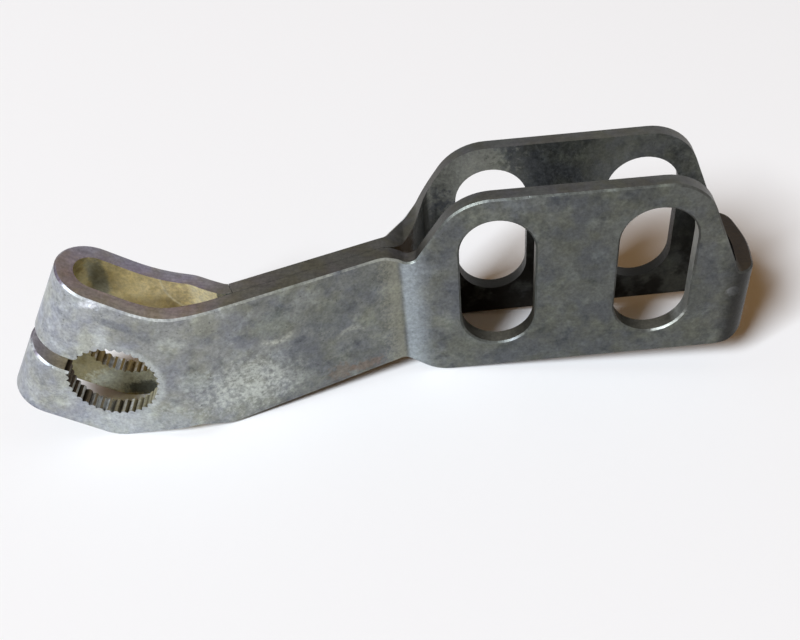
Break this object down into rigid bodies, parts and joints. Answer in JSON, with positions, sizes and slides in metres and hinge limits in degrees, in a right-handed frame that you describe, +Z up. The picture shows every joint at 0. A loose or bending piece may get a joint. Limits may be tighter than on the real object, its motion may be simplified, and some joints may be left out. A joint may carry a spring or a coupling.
{
  "type": "brake arm",
  "caption": "Folded sheet steel brake arm with a split serrated clamp hub at one end and a slotted fork at the other.",
  "frame": {"origin": "on the axis of the serrated bore, midway across the hub's width", "axes": "+X along the arm from the hub to the fork, +Y along the bore axis towards the rear leg and the rear fork plate, +Z up as the arm stands on its cut edges"},
  "size_m": [0.1219, 0.0322, 0.0389],
  "materials": {
    "plated_steel": "dull worn zinc plating",
    "weld_metal": "bare steel"
  },
  "bodies": {
    "root": {"folded_strip": "plated_steel", "hub_side_weld": "weld_metal", "fork_side_weld": "weld_metal"}
  },
  "joints": []
}
